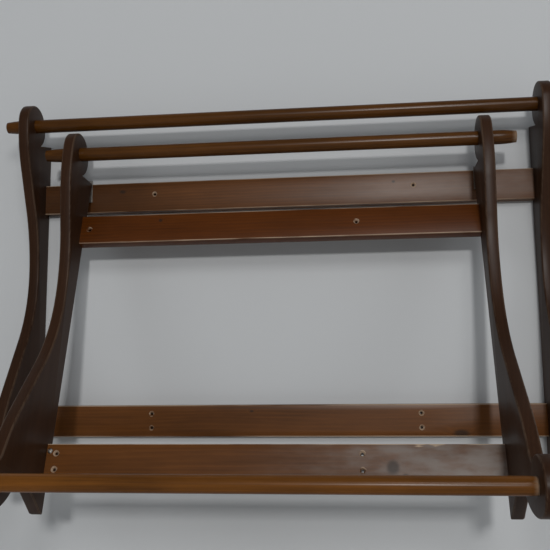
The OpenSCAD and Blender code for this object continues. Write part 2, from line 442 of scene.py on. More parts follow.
def set_stops(ramp, stops):
    """Gives a colour ramp its (place, colour) stops."""
    while len(ramp.elements) < len(stops):
        ramp.elements.new(0.5)
    for element, (place, colour) in zip(ramp.elements, stops):
        element.position = place
        element.color = (*colour, 1.0)


def shade(colour, factor):
    return tuple(min(1.0, part * factor) for part in colour)


def new_material(name):
    """An empty node material and its graph."""
    material = bpy.data.materials.new(name)
    material.use_nodes = True
    material.node_tree.nodes.clear()
    return material, Graph(material.node_tree)


def to_surface(graph, shader):
    graph.node("ShaderNodeOutputMaterial", None, {"Surface": shader})


# ---------------------------------------------------------------------------
# Materials


# Spacing of the growth rings.
RING_WIDTH = 0.0062


class Wood:
    """A varnished wood material: its stain and the marks of one piece.

    Places of marks are in the piece's own grain coordinates: along the grain and across it.
    knots: place, height, half length and half width. holes: place and height of screw holes.
    chips: place, half length, height and half width. worn_ends: the end's place, how far in it
    is worn and how much. The painted glare (a grey veil that stands in for a reflection) and dark_end: where they
    start, where they are full and how much.
    """

    def __init__(self, name, stain, seed, finish):
        self.name = name
        self.stain = tuple(stain)
        self.seed = seed
        self.finish = finish
        self.knots = []
        self.holes = []
        self.chips = []
        self.worn_ends = None
        self.painted_glare = None
        self.dark_end = None
        self.contrast = 1.0
        self.polish = 1.0
        self.gloss = 1.0
        # Strength of the pale rims on the eased edges: partly real wear, partly a painted highlight along the
        # arrises.
        self.rim_wear_and_highlight = 0.8
        self.hole_fleck = 0.7

    def build(self):
        material, graph = new_material(self.name)
        grain = graph.node("ShaderNodeAttribute", {"attribute_name": "grain"}, None, "Vector")
        rim = graph.node("ShaderNodeAttribute", {"attribute_name": "rim"}, None, "Fac")
        parts = graph.node("ShaderNodeSeparateXYZ", None, {0: grain})
        along, across, through = parts, parts.out("Y"), parts.out("Z")
        shift = tuple(self.seed * step for step in (1.37, 0.61, 0.23))

        drift = graph.noise(graph.stretch(grain, (2.4, 17.0, 17.0), shift), detail=3.0)
        cloud = graph.noise(graph.stretch(grain, (3.1, 9.0, 9.0), shift), detail=4.0, roughness=0.6)
        streak = graph.noise(graph.stretch(grain, (7.0, 330.0, 330.0), shift), detail=5.0, roughness=0.62)
        pore = graph.noise(graph.stretch(grain, (38.0, 1500.0, 1500.0), shift), detail=2.0)
        smear = graph.noise(graph.stretch(grain, (24.0, 60.0, 60.0), shift), detail=4.0)

        heart, knot_mask = self.knot_rings(graph, along, across, drift)
        rise = through + (0.055 + 0.02 * math.sin(self.seed))
        radius = graph.length(heart, rise)
        rings = graph.maths("SINE", radius * (2 * math.pi / RING_WIDTH) + streak * 2.2) * 0.5 + 0.5

        tone = streak * 0.30 + rings ** 2.0 * 0.07 + cloud * 0.64
        reach = 0.5 * self.contrast
        stops = [
            (0.28, shade(self.stain, 1.0 - 0.9 * reach)),
            (0.49, self.stain),
            (0.70, shade(self.stain, 1.0 + 0.85 * reach)),
        ]
        colour = graph.node("ShaderNodeValToRGB", {"stops": stops}, {"Fac": tone})
        dark_pore = graph.step(pore, 0.60, 0.70)
        colour = graph.mix(dark_pore * 0.25, colour, shade(self.stain, 0.4))
        if self.dark_end:
            near, far, depth = self.dark_end
            dim = graph.step(along + (cloud - 0.5) * 0.12, near, far) * depth
            colour = graph.mix(dim, colour, shade(self.stain, 0.22))
        # Painted glare: a patchy grey veil over one stretch of the board stands in for the reflection of a bright
        # light.
        if self.painted_glare:
            near, far, strength = self.painted_glare
            patchy = graph.step(smear * 0.6 + cloud * 0.5, 0.40, 0.68) * 0.75 + 0.25
            glare_share = graph.step(along + (cloud - 0.5) * 0.15, near, far) * patchy * strength
            colour = graph.mix(glare_share, colour, self.finish.painted_glare_colour)
        colour = graph.mix(knot_mask, colour, self.finish.knot)

        # Pale rims on the eased edges: partly real wear and partly a painted highlight along the arrises.
        worn = graph.step(streak * 0.5 + cloud * 0.6, 0.44, 0.62) * rim * self.rim_wear_and_highlight
        bare = self.bare_places(graph, along, across, cloud, streak)
        bare = graph.maths("MAXIMUM", worn, bare)
        bare = graph.node("ShaderNodeClamp", None, {0: bare})
        bare_and_highlight_colour = graph.mix(streak, shade(self.finish.bare_wood_and_highlight, 0.75), self.finish.bare_wood_and_highlight)
        colour = graph.mix(bare, colour, bare_and_highlight_colour)

        coat = (1 - bare * 0.8) * (0.82 + cloud * 0.3) * (self.finish.varnish * self.gloss)
        rough = 0.36 + streak * 0.16 + bare * 0.25
        height = pore * -0.10 + streak * 0.28 + smear * 1.1 + bare * -0.6
        bump = graph.node("ShaderNodeBump", None, {"Strength": 0.35, "Distance": 0.0006, "Height": height})
        surface = {
            "Base Color": colour,
            "Roughness": rough,
            "Coat Weight": coat,
            "Coat Roughness": self.finish.varnish_roughness * self.polish,
            "Coat IOR": 1.45,
            "Specular IOR Level": 0.03,
            "Normal": bump,
        }
        to_surface(graph, graph.node("ShaderNodeBsdfPrincipled", None, surface))
        return material

    def knot_rings(self, graph, along, across, drift):
        """Bends the rings round each knot. Returns their distance across and the knots' mask."""
        heart = across + (drift - 0.5) * 0.030 + 0.018 * math.cos(self.seed)
        mask = None
        for place, height, length, width in self.knots:
            distance = graph.length((along - place) / length, (across - height) / width)
            distance = distance + (drift - 0.5) * 0.9
            heart = heart + graph.step(distance, 2.6, 0.4) * 0.012
            one = graph.step(distance, 1.2, 0.45) * 0.78
            mask = one if mask is None else graph.maths("MAXIMUM", mask, one)
        if mask is None:
            mask = drift * 0.0
        return heart, mask

    def bare_places(self, graph, along, across, cloud, streak):
        """Mask of the pale places: a fleck on one side of each screw hole's mouth, chips where the finish is off
        and worn dowel ends.
        """
        mask = cloud * 0.0
        # A pale fleck on one side of each screw hole's mouth.
        for place, height in self.holes:
            from_along = along - place
            from_across = across - height
            distance = graph.length(from_along, from_across) + (streak - 0.5) * 0.004
            ring = graph.step(distance, 0.0062, 0.0050) * graph.step(distance, 0.0024, 0.0036)
            fleck = graph.step(from_across * 110 + from_along * 60 + cloud, 0.70, 1.0)
            mask = graph.maths("MAXIMUM", mask, ring * fleck * self.hole_fleck)
        for place, length, height, reach in self.chips:
            from_along = graph.maths("ABSOLUTE", along - place) / length
            depth = graph.maths("ABSOLUTE", across - height) / reach
            ragged = from_along * 0.5 + depth + (streak - 0.5) * 2.2 + (cloud - 0.5) * 2.4
            mask = graph.maths("MAXIMUM", mask, graph.step(ragged, 0.85, 0.45))
        if self.worn_ends:
            half, reach, strength = self.worn_ends
            to_end = (half - along) / reach
            ragged = to_end + (cloud - 0.5) * 1.6 + (streak - 0.5) * 0.9
            mask = graph.maths("MAXIMUM", mask, graph.step(ragged, 0.9, -0.1) * strength)
        return mask


def steel_material(name, finish, seed):
    """Dull plated steel with darker tarnish."""
    material, graph = new_material(name)
    place = graph.node("ShaderNodeTexCoord", None, None, "Object")
    shift = (seed, 0.0, 0.0)
    patch = graph.noise(graph.stretch(place, (220.0, 220.0, 220.0), shift), detail=4.0, roughness=0.65)
    brushed = graph.noise(graph.stretch(place, (900.0, 120.0, 4200.0), shift), detail=2.0)
    dull = graph.step(patch, 0.50, 0.72)
    colour = graph.mix(dull * 0.8, finish.steel, finish.tarnish)
    bump = graph.node(
        "ShaderNodeBump", None, {"Strength": 0.3, "Distance": 0.0001, "Height": brushed + patch * 0.6}
    )
    surface = {
        "Base Color": colour,
        "Metallic": 1 - dull * 0.55,
        "Roughness": 0.30 + brushed * 0.12 + dull * 0.25,
        "Normal": bump,
    }
    to_surface(graph, graph.node("ShaderNodeBsdfPrincipled", None, surface))
    return material


def painted_material(name, colour, mottle):
    """Matt paint with a faint mottle, for the wall and the floor."""
    material, graph = new_material(name)
    place = graph.node("ShaderNodeTexCoord", None, None, "Object")
    patch = graph.noise(graph.stretch(place, (1.3, 1.3, 1.3), (0.4, 0.0, 0.0)), detail=4.0)
    roller = graph.noise(graph.stretch(place, (260.0, 260.0, 260.0), (0.0, 0.0, 0.0)), detail=3.0)
    tint = graph.mix(patch, shade(colour, 1.0 - mottle), shade(colour, 1.0 + mottle))
    bump = graph.node("ShaderNodeBump", None, {"Strength": 0.15, "Distance": 0.0004, "Height": roller})
    surface = {"Base Color": tint, "Roughness": 0.85, "Specular IOR Level": 0.2, "Normal": bump}
    return material, graph, graph.node("ShaderNodeBsdfPrincipled", None, surface)


# ---------------------------------------------------------------------------
# Mesh work


def arc(centre_x, centre_y, radius, start, end, steps):
    """Points of a round stretch between two angles, in degrees."""
    turn = (end - start) / steps
    angles = [math.radians(start + turn * i) for i in range(steps + 1)]
    return [(centre_x + radius * math.cos(a), centre_y + radius * math.sin(a)) for a in angles]


def side_outline(shape, part):
    """Outline of a side panel: distance out from its back edge, and height."""
    neck = math.degrees(shape.neck_angle)
    sweep = math.degrees(shape.sweep_angle)
    waist = shape.waist_depth
    upper = shape.waist_upper_radius
    lower = shape.waist_lower_radius
    sin_sweep = math.sin(shape.sweep_angle)
    cos_sweep = math.cos(shape.sweep_angle)
    slope = shape.waist_height - lower * sin_sweep - shape.thigh_height
    thigh_x = waist + lower * (1 - cos_sweep) + slope * math.tan(shape.sweep_angle)
    thigh_x -= shape.thigh_radius * cos_sweep
    thigh_z = shape.thigh_height - shape.thigh_radius * sin_sweep
    neck_x = part.head_out + part.lobe_r - shape.neck_radius
    under_z = shape.under_radius - part.front_drop - part.lobe_r
    steps = shape.arc_steps
    shoulder = [(0.0, part.head_z - shape.shoulder_drop)]
    ledge = [(part.front_out - LEDGE_IN, LEDGE_RISE)]
    foot = [
        (shape.heel_out, -shape.heel_drop),
        (shape.foot_width, -shape.foot_drop),
        (0.0, -shape.foot_drop),
    ]
    return (
        shoulder
        + arc(part.head_out, part.head_z, part.lobe_r, 232, 0, shape.lobe_steps)
        + arc(neck_x, part.head_z, shape.neck_radius, 0, -neck, steps)[1:]
        + arc(waist + upper, shape.waist_height, upper, 180 - neck, 180, steps)
        + arc(waist + lower, shape.waist_height, lower, 180, 180 + sweep, steps)[1:]
        + arc(thigh_x, thigh_z, shape.thigh_radius, sweep, math.degrees(shape.thigh_end), steps // 2)
        + ledge
        + arc(part.front_out, -part.front_drop, part.lobe_r, 120, -90, shape.lobe_steps)
        + arc(part.front_out, under_z, shape.under_radius, -90, -160, steps)[1:]
        + foot
    )


def new_piece(name, mesh):
    piece = bpy.data.objects.new(name, mesh)
    bpy.context.scene.collection.objects.link(piece)
    return piece


def mesh_from(bm, name):
    """Turns a bmesh into a mesh with clean, outward faces."""
    bmesh.ops.remove_doubles(bm, verts=bm.verts, dist=1e-6)
    bmesh.ops.recalc_face_normals(bm, faces=bm.faces)
    mesh = bpy.data.meshes.new(name)
    bm.to_mesh(mesh)
    bm.free()
    return mesh


def evaluated_mesh(piece, name):
    """The piece's mesh with its modifiers applied."""
    graph = bpy.context.evaluated_depsgraph_get()
    graph.update()
    mesh = bpy.data.meshes.new_from_object(piece.evaluated_get(graph), depsgraph=graph)
    mesh.name = name
    return mesh


def eased_plate(outline, thickness, ease):
    """A plate in the plane of an outline, from x = 0 to its thickness, with eased rims."""
    bm = bmesh.new()
    ring = [bm.verts.new((0.0, -out, up)) for out, up in outline]
    face = bm.faces.new(ring)
    grown = bmesh.ops.extrude_face_region(bm, geom=[face])
    moved = [item for item in grown["geom"] if isinstance(item, bmesh.types.BMVert)]
    bmesh.ops.translate(bm, verts=moved, vec=(thickness, 0.0, 0.0))
    bm.normal_update()
    rims = [
        edge
        for edge in bm.edges
        if abs(edge.verts[0].co.x - edge.verts[1].co.x) < 1e-7
        and edge.calc_face_angle(0.0) > math.radians(60)
    ]
    bmesh.ops.bevel(
        bm, geom=rims, offset=ease, segments=3, profile=0.5, affect="EDGES", clamp_overlap=False
    )
    return mesh_from(bm, "plate")


def box_cutter(low, high):
    """A box between two corners."""
    bm = bmesh.new()
    bmesh.ops.create_cube(bm, size=1.0)
    centre = (Vector(low) + Vector(high)) / 2
    size = Vector(high) - Vector(low)
    fit = Matrix.Translation(centre) @ Matrix.Diagonal((*size, 1.0))
    bmesh.ops.transform(bm, matrix=fit, verts=bm.verts)
    return mesh_from(bm, "box_cutter")


def lathe_cutter(profile, place, axis, sides=48):
    """A closed turned shape from (distance along, radius) points, about an axis through place."""
    bm = bmesh.new()
    rings = []
    for distance, radius in profile:
        ring = []
        for i in range(sides):
            turn = 2 * math.pi * i / sides
            ring.append(bm.verts.new((radius * math.cos(turn), radius * math.sin(turn), distance)))
        rings.append(ring)
    for lower, upper in zip(rings, rings[1:]):
        for i in range(sides):
            j = (i + 1) % sides
            bm.faces.new((lower[i], lower[j], upper[j], upper[i]))
    bm.faces.new(reversed(rings[0]))
    bm.faces.new(rings[-1])
    turn = Vector((0, 0, 1)).rotation_difference(Vector(axis)).to_matrix().to_4x4()
    bmesh.ops.transform(bm, matrix=Matrix.Translation(place) @ turn, verts=bm.verts)
    return mesh_from(bm, "lathe_cutter")


def carved(mesh, cutters, name):
    """The mesh with each cutter taken out of it."""
    piece = new_piece("carving", mesh)
    tools = []
    for cutter in cutters:
        tool = new_piece("cutter", cutter)
        tools.append(tool)
        cut = piece.modifiers.new("Cut", "BOOLEAN")
        cut.operation = "DIFFERENCE"
        cut.solver = "EXACT"
        cut.object = tool
    result = evaluated_mesh(piece, name)
    for used in [piece, *tools]:
        bpy.data.objects.remove(used)
    return result


def finish_piece(mesh, part, name, nodes, material, grain_axes, flat_axis):
    """Puts a wooden piece in place, with its grain and rim attributes, on its frame.

    grain_axes are the piece's own axes along the grain, across it and through the piece.
    flat_axis is the normal of its two flat faces: faces that lean from it are the rims.
    """
    grain = mesh.attributes.new("grain", "FLOAT_VECTOR", "POINT")
    for vertex, item in zip(mesh.vertices, grain.data):
        item.vector = [vertex.co[axis] for axis in grain_axes]
    rim = mesh.attributes.new("rim", "FLOAT", "FACE")
    for polygon, item in zip(mesh.polygons, rim.data):
        item.value = 1.0 if 0.15 < abs(polygon.normal[flat_axis]) < 0.97 else 0.0
    mesh.transform(part.place)
    mesh.polygons.foreach_set("use_smooth", [True] * len(mesh.polygons))
    mesh.set_sharp_from_angle(angle=math.radians(32))
    mesh.materials.clear()
    mesh.materials.append(material)
    piece = new_piece(name, mesh)
    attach(piece, part.body)
    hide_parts(*nodes)


# ---------------------------------------------------------------------------
# Geometry Nodes trees


def new_tree(name, inputs):
    """A geometry tree with named inputs. Returns its graph, its input node and identifiers."""
    tree = bpy.data.node_groups.new(name, "GeometryNodeTree")
    tree.interface.new_socket("Geometry", in_out="INPUT", socket_type="NodeSocketGeometry")
    tree.interface.new_socket("Geometry", in_out="OUTPUT", socket_type="NodeSocketGeometry")
    keys = {}
    for label, kind in inputs:
        keys[label] = tree.interface.new_socket(label, in_out="INPUT", socket_type=kind).identifier
    graph = Graph(tree)
    return graph, graph.node("NodeGroupInput"), keys


def end_tree(graph, shape, material):
    """Realizes what the tree made and gives it its material."""
    real = graph.node("GeometryNodeRealizeInstances", None, {0: shape})
    painted = graph.node("GeometryNodeSetMaterial", None, {"Geometry": real, "Material": material})
    graph.node("NodeGroupOutput", None, {0: painted})
    return graph.tree


def dowel_tree():
    """A round dowel along X with eased ends and a slightly wandering thickness."""
    inputs = [
        ("Length", "NodeSocketFloat"),
        ("Radius", "NodeSocketFloat"),
        ("Ease", "NodeSocketFloat"),
        ("Wobble", "NodeSocketFloat"),
        ("Seed", "NodeSocketFloat"),
        ("Sides", "NodeSocketInt"),
        ("Material", "NodeSocketMaterial"),
    ]
    graph, given, keys = new_tree("Turned Dowel", inputs)
    half = given.out("Length") * 0.5
    line = graph.node("GeometryNodeCurvePrimitiveLine", None, {"Start": (0, 0, 0), "End": (1, 0, 0)})
    line = graph.node("GeometryNodeResampleCurve", None, {"Curve": line, "Count": 150})
    share = graph.node("GeometryNodeSplineParameter")
    # Equal turns of a half circle crowd the points towards the ends.
    place = graph.maths("COSINE", share * math.pi) * half * -1
    spot = graph.node("ShaderNodeCombineXYZ", None, {"X": place})
    line = graph.node("GeometryNodeSetPosition", None, {"Geometry": line, "Position": spot})
    ease = given.out("Ease")
    from_end = graph.maths("MINIMUM", half - graph.maths("ABSOLUTE", place), ease)
    short = ease - from_end
    rounding = graph.maths("SQRT", ease * ease - short * short)
    sample = graph.node("ShaderNodeCombineXYZ", None, {"X": place * 9.0 + given.out("Seed")})
    # The shift of 0.6 keeps the wandering surface inside the dowel's full radius.
    wander = (graph.noise(sample, detail=2.0) - 0.6) * given.out("Wobble")
    radius = given.out("Radius") - ease + rounding + wander
    round_profile = {"Resolution": given.out("Sides"), "Radius": 1.0}
    ring = graph.node("GeometryNodeCurvePrimitiveCircle", None, round_profile)
    swept = {"Curve": line, "Profile Curve": ring, "Scale": radius, "Fill Caps": True}
    solid = graph.node("GeometryNodeCurveToMesh", None, swept)
    return end_tree(graph, solid, given.out("Material")), keys


def fastener_tree():
    """A slotted fastener at each point, sunk along the point's aim."""
    inputs = [
        ("Head Radius", "NodeSocketFloat"),
        ("Head Height", "NodeSocketFloat"),
        ("Neck Radius", "NodeSocketFloat"),
        ("Shank Radius", "NodeSocketFloat"),
        ("Length", "NodeSocketFloat"),
        ("Slot Width", "NodeSocketFloat"),
        ("Seed", "NodeSocketInt"),
        ("Material", "NodeSocketMaterial"),
    ]
    graph, given, keys = new_tree("Fasteners", inputs)
    head_r, head_h = given.out("Head Radius"), given.out("Head Height")
    shank_r, length, slot_w = given.out("Shank Radius"), given.out("Length"), given.out("Slot Width")
    head = graph.node("GeometryNodeMeshCone", None, {
        "Vertices": 32, "Radius Top": given.out("Neck Radius"), "Radius Bottom": head_r, "Depth": head_h,
    })
    slot_size = graph.node("ShaderNodeCombineXYZ", None, {"X": head_r * 2.4, "Y": slot_w, "Z": head_h})
    slot = graph.node("GeometryNodeMeshCube", None, {"Size": slot_size})
    cut = {"operation": "DIFFERENCE", "solver": "EXACT"}
    head = graph.node("GeometryNodeMeshBoolean", cut, {"Mesh 1": head, "Mesh 2": slot})
    # The shank starts inside the head and ends in a blunt point.
    shank = graph.node("GeometryNodeMeshCone", None, {
        "Vertices": 20, "Side Segments": 6, "Radius Top": shank_r * 0.45, "Radius Bottom": shank_r,
        "Depth": length - head_h * 0.6,
    })
    down = graph.node("ShaderNodeCombineXYZ", None, {"Z": head_h * 0.6})
    shank = graph.node("GeometryNodeTransform", None, {"Geometry": shank, "Translation": down})
    both = graph.node("GeometryNodeJoinGeometry")
    graph.tree.links.new(shank.socket, both.made.inputs[0])
    graph.tree.links.new(head.socket, both.made.inputs[0])
    aim = graph.node("GeometryNodeInputNamedAttribute", {"data_type": "FLOAT_VECTOR"}, {"Name": "aim"})
    half_turn = {2: 0.0, 3: math.pi, "Seed": given.out("Seed")}
    twist = graph.node("FunctionNodeRandomValue", {"data_type": "FLOAT"}, half_turn, 1)
    spin = graph.node("FunctionNodeAxisAngleToRotation", None, {"Axis": (0, 0, 1), "Angle": twist})
    turn = graph.node("FunctionNodeAlignRotationToVector", {"axis": "Z"}, {"Rotation": spin, "Vector": aim})
    placed = {"Points": given, "Instance": both, "Rotation": turn}
    driven = graph.node("GeometryNodeInstanceOnPoints", None, placed)
    return end_tree(graph, driven, given.out("Material")), keys


def grown_mesh(seed_mesh, made, settings, name):
    """Runs a geometry tree on a mesh and returns the plain result."""
    tree, keys = made
    piece = new_piece("growing", seed_mesh)
    modifier = piece.modifiers.new("Grow", "NODES")
    modifier.node_group = tree
    for label, value in settings.items():
        modifier[keys[label]] = value
    mesh = evaluated_mesh(piece, name)
    bpy.data.objects.remove(piece)
    return mesh


# ---------------------------------------------------------------------------
# Pieces


def one_point():
    mesh = bpy.data.meshes.new("seed_point")
    mesh.from_pydata([(0.0, 0.0, 0.0)], [], [])
    return mesh


def build_side(part, hand, finish, shape):
    """One shaped side panel. hand is 1 on the right and -1 on the left."""
    name = part.node("right_side" if hand > 0 else "left_side")
    mesh = eased_plate(side_outline(shape, part), part.side_t, shape.side_ease)
    gap = shape.joint_gap
    radius = part.dowel_r + gap
    through = [(-PAST, radius), (part.side_t + PAST, radius)]
    cutters = [lathe_cutter(through, (0.0, -part.head_out, part.head_z), (1, 0, 0))]
    if part.prefix == "inner":
        socket = [(-PAST, radius), (front_socket_depth(part) + gap, radius)]
        cutters.append(lathe_cutter(socket, (0.0, -part.front_out, -part.front_drop), (1, 0, 0)))
    for height in (0.0, part.board_rise):
        low, high = tenon_corners(part, height)
        inner_corner = (-PAST, low[0] - gap, low[1] - gap)
        outer_corner = (part.tenon + gap, high[0] + gap, high[1] + gap)
        cutters.append(box_cutter(inner_corner, outer_corner))
    mesh = carved(mesh, cutters, name)
    if hand < 0:
        mesh.transform(Matrix.Scale(-1, 4, (1, 0, 0)))
        mesh.flip_normals()
    mesh.transform(Matrix.Translation((hand * part.gap / 2, 0.0, 0.0)))
    wood = Wood(name + "_wood", finish.dark_stain, 3.1 + hand + 5.0 * (part.prefix == "inner"), finish)
    wood.contrast = 0.8
    wood.gloss = 0.55
    wood.rim_wear_and_highlight = 0.08
    axes = (ALONG_Z, ALONG_Y, ALONG_X)
    finish_piece(mesh, part, name + "_panel", [name], wood.build(), axes, ALONG_X)


def front_socket_depth(part):
    """Depth of the blind holes that hold the front dowel."""
    low, high = folded_box(part.node("front_dowel"), FOLD_FLAT)
    return (high.x - low.x - part.gap) / 2


def tenon_corners(part, height):
    """Lowest and highest (y, z) of a board's tenon."""
    low = (-0.75 * part.board_t, height + part.board_w / 8)
    high = (-0.25 * part.board_t, height + 0.875 * part.board_w)
    return low, high


BOARD_SEEDS = {
    "outer_upper_board": 11.0,
    "outer_lower_board": 17.3,
    "inner_upper_board": 23.9,
    "inner_lower_board": 31.7,
}
DOWEL_SEEDS = {"outer_top_dowel": 2.0, "inner_top_dowel": 5.0, "inner_front_dowel": 9.0}


def board_mesh(part, height, ease):
    """A board between the sides with eased long edges and a tenon at each end."""
    t, w = part.board_t, part.board_w
    bm = bmesh.new()
    bmesh.ops.create_cube(bm, size=1.0)
    size = Matrix.Diagonal((part.gap, t, w, 1.0))
    bmesh.ops.transform(bm, matrix=Matrix.Translation((0, -t / 2, height + w / 2)) @ size, verts=bm.verts)
    long_edges = [
        edge for edge in bm.edges if abs(edge.verts[0].co.x - edge.verts[1].co.x) > part.gap / 2
    ]
    bmesh.ops.bevel(bm, geom=long_edges, offset=ease, segments=3, profile=0.5, affect="EDGES")
    low, high = tenon_corners(part, height)
    centre_y, centre_z = (low[0] + high[0]) / 2, (low[1] + high[1]) / 2
    for hand in (-1, 1):
        end = max(bm.faces, key=lambda face: hand * face.calc_center_median().x)
        bmesh.ops.inset_individual(bm, faces=[end], thickness=t / 8)
        for vertex in end.verts:
            vertex.co.y = high[0] if vertex.co.y > centre_y else low[0]
            vertex.co.z = high[1] if vertex.co.z > centre_z else low[1]
        grown = bmesh.ops.extrude_face_region(bm, geom=[end])
        bm.faces.remove(end)
        moved = [item for item in grown["geom"] if isinstance(item, bmesh.types.BMVert)]
        bmesh.ops.translate(bm, verts=moved, vec=(hand * part.tenon, 0.0, 0.0))
    return mesh_from(bm, "board")


def board_holes(part, height):
    """Places of a board's wall screw holes: along it and up."""
    middle = height + part.board_w / 2
    if height > 0:
        rise = SCREW_RISE if part.prefix == "outer" else 0.0
        return [(x, middle + rise) for x in column_places(part)]
    return [(x, middle + side * SCREW_PAIR / 2) for x in column_places(part) for side in (-1, 1)]


def build_board(part, level, finish, shape):
    """One board, with its countersunk wall screw holes, knots, wear and painted glare."""
    name = part.node(f"{level}_board")
    height = part.board_rise if level == "upper" else 0.0
    mesh = board_mesh(part, height, shape.board_ease)
    t = part.board_t
    mouth, bore = shape.sink_radius, SCREW_HOLE_R
    profile = [(-PAST, mouth), (0.0, mouth), (shape.sink_depth, bore), (t + PAST, bore)]
    holes = board_holes(part, height)
    cutters = [lathe_cutter(profile, (x, -t, z), (0, 1, 0), 32) for x, z in holes]
    mesh = carved(mesh, cutters, name)
    stain = finish.deep_stain if name == "inner_upper_board" else finish.red_stain
    wood = Wood(name + "_wood", stain, BOARD_SEEDS[name], finish)
    wood.holes = holes
    wood.hole_fleck = 0.7 if part.prefix == "inner" else 0.28
    wood.knots = board_knots(part, level, height)
    if name == "outer_upper_board":
        wood.dark_end = (-0.16, -0.42, 0.55)
        # Painted glare over the board's right part, standing in for a light's reflection.
        wood.painted_glare = (0.02, 0.26, 0.22)
    if name == "inner_lower_board":
        # Painted glare over the board's right part, standing in for a light's reflection.
        wood.painted_glare = (-0.08, 0.30, 0.85)
        wood.chips = [
            (0.236, 0.012, part.board_w, 0.0056),
            (0.262, 0.011, part.board_w, 0.0050),
            (0.196, 0.005, part.board_w, 0.0032),
            (0.330, 0.024, part.board_w, 0.0020),
        ]
    axes = (ALONG_X, ALONG_Z, ALONG_Y)
    finish_piece(mesh, part, name + "_plank", [name], wood.build(), axes, ALONG_Y)


def board_knots(part, level, height):
    """Knots of a board: place along it, height, half length and half width."""
    w = part.board_w
    knots = {
        ("outer", "upper"): [
            (-0.314, height + 0.70 * w, 0.008, 0.005),
            (0.213, height + 0.72 * w, 0.004, 0.003),
        ],
        ("outer", "lower"): [(0.320, 0.10 * w, 0.017, 0.008), (-0.060, 0.80 * w, 0.004, 0.002)],
        ("inner", "upper"): [(-0.216, height + 0.76 * w, 0.004, 0.004)],
        ("inner", "lower"): [(0.195, 0.38 * w, 0.011, 0.012), (0.214, 0.10 * w, 0.006, 0.006)],
    }
    return knots[part.prefix, level]


class PlacedPart:
    """A place of its own on one of the frames."""

    def __init__(self, part, place):
        self.body = part.body
        self.place = place


def build_dowel(part, which, finish, shape, tree):
    """A top or front dowel, turned by the dowel tree."""
    name = part.node(f"{which}_dowel")
    low, high = folded_box(name, part.place.inverted())
    length = high.x - low.x
    seed = DOWEL_SEEDS[name]
    wood = Wood(name + "_wood", finish.dowel_stain, seed, finish)
    wood.contrast = 1.25
    wood.polish = 0.75
    if which == "top":
        wood.rim_wear_and_highlight = 0.3
        wood.worn_ends = (length / 2, 0.010, 0.35)
        wood.stain = shade(wood.stain, 0.49)
    else:
        wood.worn_ends = (length / 2 - part.tenon, 0.008, 0.4)
    material = wood.build()
    settings = {
        "Length": length,
        "Radius": part.dowel_r,
        "Ease": shape.dowel_ease,
        "Wobble": shape.dowel_wobble,
        "Seed": seed,
        "Sides": shape.dowel_sides,
        "Material": material,
    }
    mesh = grown_mesh(one_point(), tree, settings, name)
    bm = bmesh.new()
    bm.from_mesh(mesh)
    mesh = mesh_from(bm, name)
    # The grain is measured from the dowel's own middle, before it goes to its place.
    middle = Matrix.Translation((low + high) / 2)
    own = PlacedPart(part, part.place @ middle)
    axes = (ALONG_X, ALONG_Z, ALONG_Y)
    finish_piece(mesh, own, name + "_rail", [name], material, axes, ALONG_X)


def fastener_seats(node, part, sideways):
    """Head place, aim, length and width of each fastener in a packed group, in the frame's own axes.

    sideways is the sign of the aim along Y of those that lie along Y.
    """
    bm = bmesh.new()
    bm.from_mesh(frame["nodes"][node].data)
    bmesh.ops.remove_doubles(bm, verts=bm.verts, dist=1e-6)
    back = part.place.inverted()
    seats = []
    left = set(bm.verts)
    while left:
        solid, reach = set(), [left.pop()]
        while reach:
            vertex = reach.pop()
            solid.add(vertex)
            near = {edge.other_vert(vertex) for edge in vertex.link_edges} & left
            left -= near
            reach.extend(near)
        points = [back @ vertex.co for vertex in solid]
        low = Vector([min(p[i] for p in points) for i in range(3)])
        high = Vector([max(p[i] for p in points) for i in range(3)])
        size = high - low
        head, aim = (low + high) / 2, Vector()
        if size.y > size.z:
            head.y = low.y if sideways > 0 else high.y
            aim.y = sideways
        else:
            head.z = low.z
            aim.z = 1.0
        seats.append((head, aim, max(size), min(size)))
    bm.free()
    return sorted(seats, key=lambda seat: tuple(round(c, 5) for c in seat[0]))


def build_fasteners(node, part, sideways, form, finish, tree):
    """A group of screws or brads on their packed places."""
    seats = fastener_seats(node, part, sideways)
    mesh = bpy.data.meshes.new(node + "_seats")
    mesh.from_pydata([seat[0] for seat in seats], [], [])
    aims = mesh.attributes.new("aim", "FLOAT_VECTOR", "POINT")
    for item, seat in zip(aims.data, seats):
        item.vector = seat[1]
    length, width = seats[0][2:]
    settings = {
        "Head Radius": width / 2,
        "Head Height": form["head"],
        "Neck Radius": form["neck"],
        "Shank Radius": form["shank"],
        "Length": length,
        "Slot Width": form["slot"],
        "Seed": form["seed"],
        "Material": steel_material(node + "_steel", finish, form["seed"]),
    }
    grown = grown_mesh(mesh, tree, settings, node)
    grown.transform(part.place)
    grown.set_sharp_from_angle(angle=math.radians(30))
    piece = new_piece(node + "_set", grown)
    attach(piece, part.body)
    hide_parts(node)


